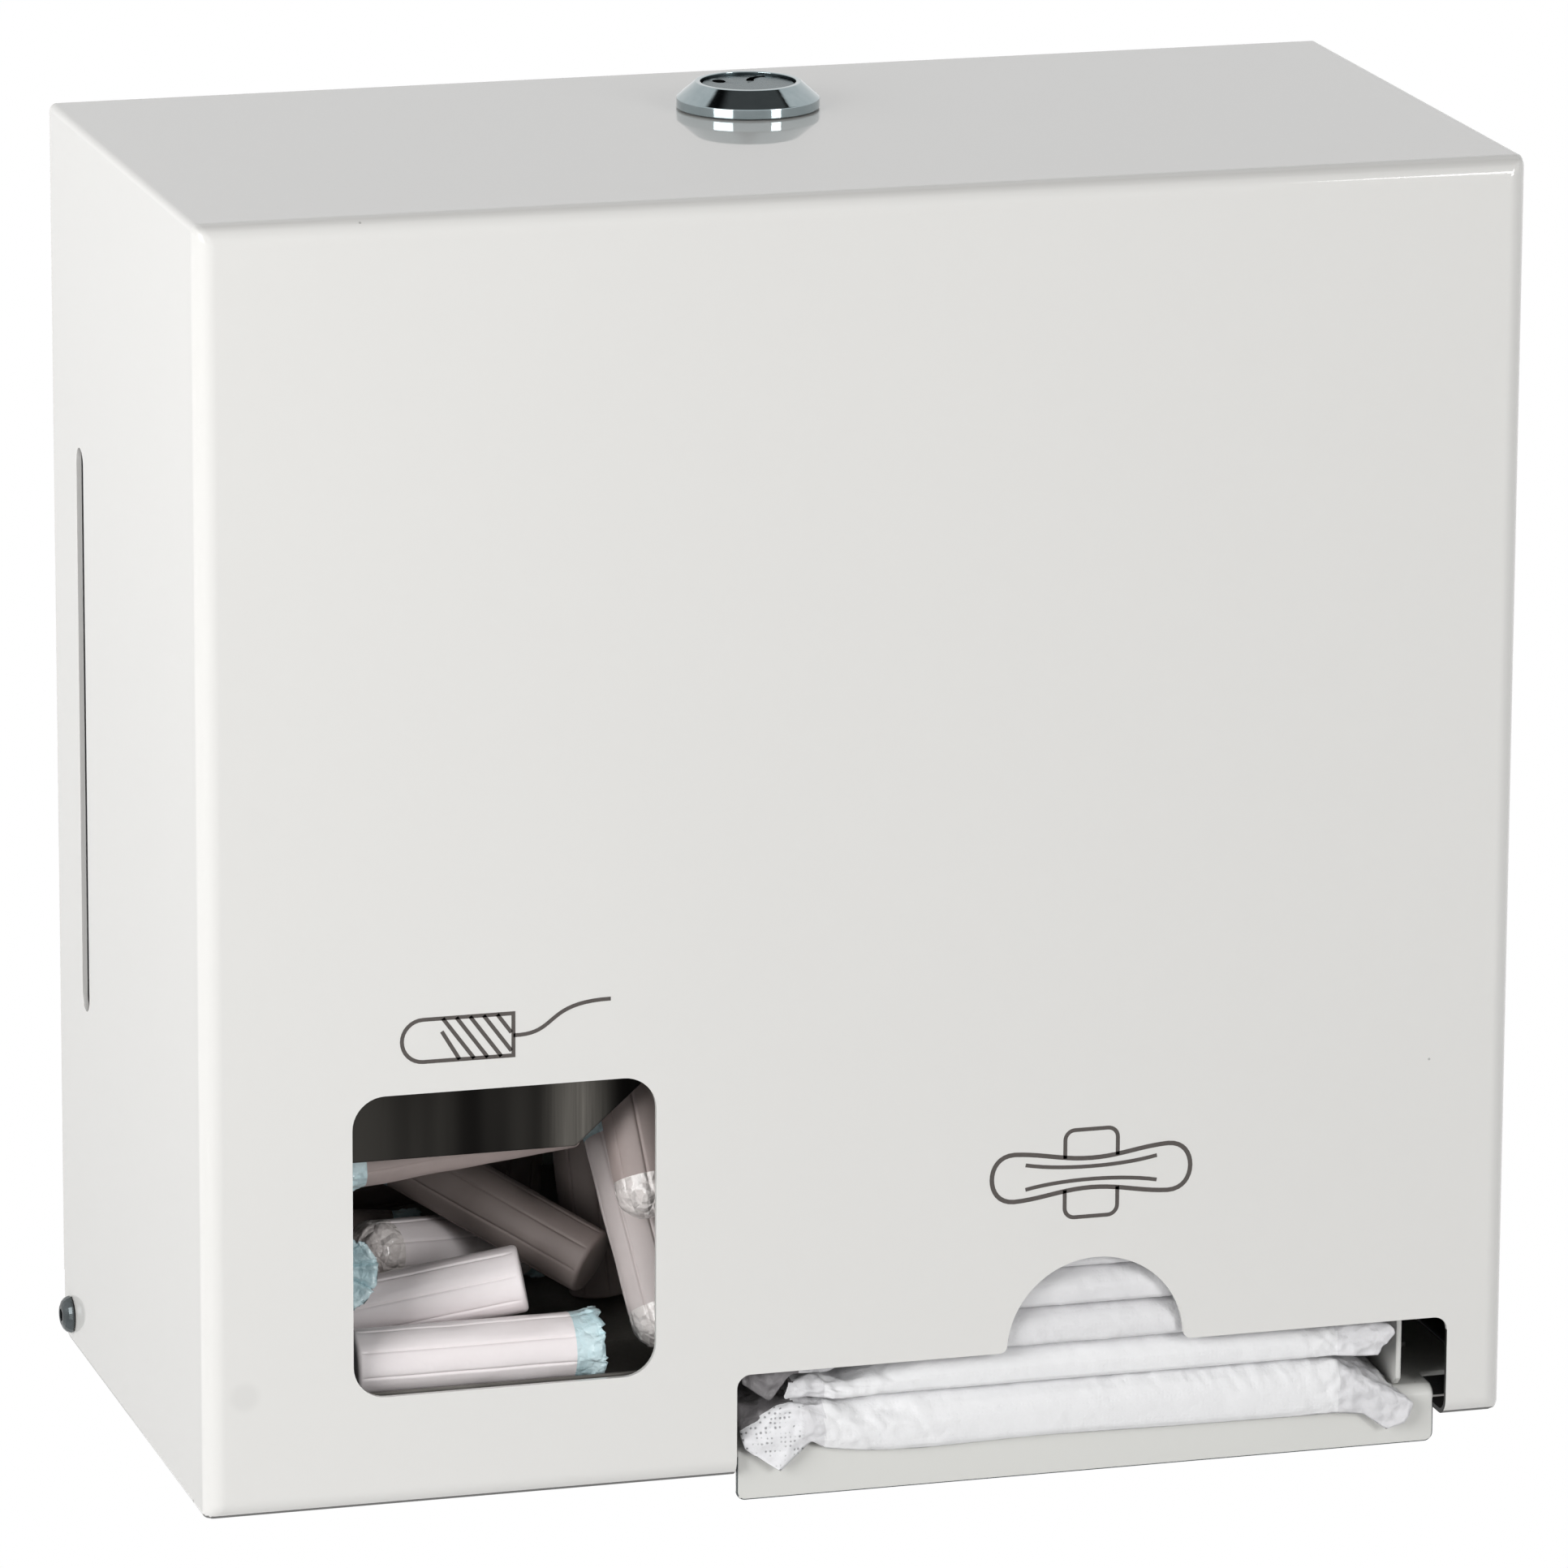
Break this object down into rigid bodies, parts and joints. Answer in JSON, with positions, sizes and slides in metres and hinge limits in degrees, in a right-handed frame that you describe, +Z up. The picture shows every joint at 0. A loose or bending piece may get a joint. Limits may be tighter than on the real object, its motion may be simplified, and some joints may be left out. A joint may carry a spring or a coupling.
{
  "type": "sanitary pad dispenser",
  "caption": "Lockable white steel wall dispenser: a stack of pads over a lipped slot, tampons behind a square window, cover tilting forward on two lower screws.",
  "frame": {"origin": "middle of the back plate's flat wall side, half way up the cover", "axes": "+X to the viewer's right, +Y into the wall, -Y out of the front face, +Z up"},
  "size_m": [0.2696, 0.127, 0.2659],
  "materials": {
    "white_powder_coat": "satin powder coat with a fine texture",
    "white_inner_paint": "satin powder coat",
    "brushed_sheet": "upright brushed",
    "lock_chrome": "polished",
    "zinc_plate": "bright zinc plate",
    "dark_steel": "dark stainless",
    "nylon": "natural nylon",
    "pad_wrapper": "soft white non-woven film",
    "tampon_wrapper": "white cotton roll in clear film with blue cord ends"
  },
  "bodies": {
    "frame": {"back_plate": "white_inner_paint", "pad_tray": "white_inner_paint", "bin_left_wall": "white_inner_paint", "chute_left_wall": "white_inner_paint", "chute_right_wall": "white_inner_paint", "bin_floor": "brushed_sheet", "bin_baffle": "brushed_sheet", "stud_nut_bin_wall": "zinc_plate", "stud_nut_chute_left": "zinc_plate", "stud_nut_chute_right": "zinc_plate", "stud_nut_tray_left": "zinc_plate", "stud_nut_tray_right": "zinc_plate", "stud_nut_floor": "zinc_plate", "foot_rivet_bin_front": "zinc_plate", "foot_rivet_bin_rear": "zinc_plate", "foot_rivet_left_front": "zinc_plate", "foot_rivet_left_rear": "zinc_plate", "foot_rivet_right_front": "zinc_plate", "foot_rivet_right_rear": "zinc_plate", "baffle_rivet_left_low": "zinc_plate", "baffle_rivet_left_high": "zinc_plate", "baffle_rivet_right_low": "zinc_plate", "baffle_rivet_right_high": "zinc_plate", "pivot_screw_right": "dark_steel", "pivot_screw_left": "dark_steel", "pivot_bushing_right": "nylon", "pivot_bushing_left": "nylon", "pivot_nut_right": "zinc_plate", "pivot_nut_left": "zinc_plate", "pad_02": "pad_wrapper", "pad_03": "pad_wrapper", "pad_04": "pad_wrapper", "pad_05": "pad_wrapper", "pad_06": "pad_wrapper", "pad_07": "pad_wrapper", "pad_08": "pad_wrapper", "pad_09": "pad_wrapper", "pad_10": "pad_wrapper", "pad_11": "pad_wrapper", "tampon_01": "tampon_wrapper", "tampon_02": "tampon_wrapper", "tampon_03": "tampon_wrapper", "tampon_04": "tampon_wrapper", "tampon_05": "tampon_wrapper", "tampon_06": "tampon_wrapper", "tampon_07": "tampon_wrapper", "tampon_08": "tampon_wrapper", "tampon_09": "tampon_wrapper", "tampon_10": "tampon_wrapper", "tampon_11": "tampon_wrapper", "tampon_12": "tampon_wrapper"},
    "cover_body": {"cover": "white_powder_coat", "lock_body": "lock_chrome", "lock_washer": "zinc_plate", "lock_nut": "zinc_plate"},
    "lock_core": {"lock_plug": "lock_chrome", "lock_cam": "zinc_plate", "lock_cam_screw": "zinc_plate"},
    "lowest_pad": {"pad_01": "pad_wrapper"}
  },
  "joints": [
    {"name": "cover_hinge", "type": "hinge", "parent": "frame", "child": "cover_body", "pos_m": [0, -0.0075, -0.121], "axis": [1, 0, 0], "range_deg": [0, 90]},
    {"name": "lock_turn", "type": "hinge", "parent": "cover_body", "child": "lock_core", "pos_m": [0, -0.0398, 0.1275], "axis": [0, 0, 1], "range_deg": [0, 90]},
    {"name": "pad_pull", "type": "slide", "parent": "frame", "child": "lowest_pad", "axis": [0, -1, 0], "range_m": [0, 0.11]}
  ]
}
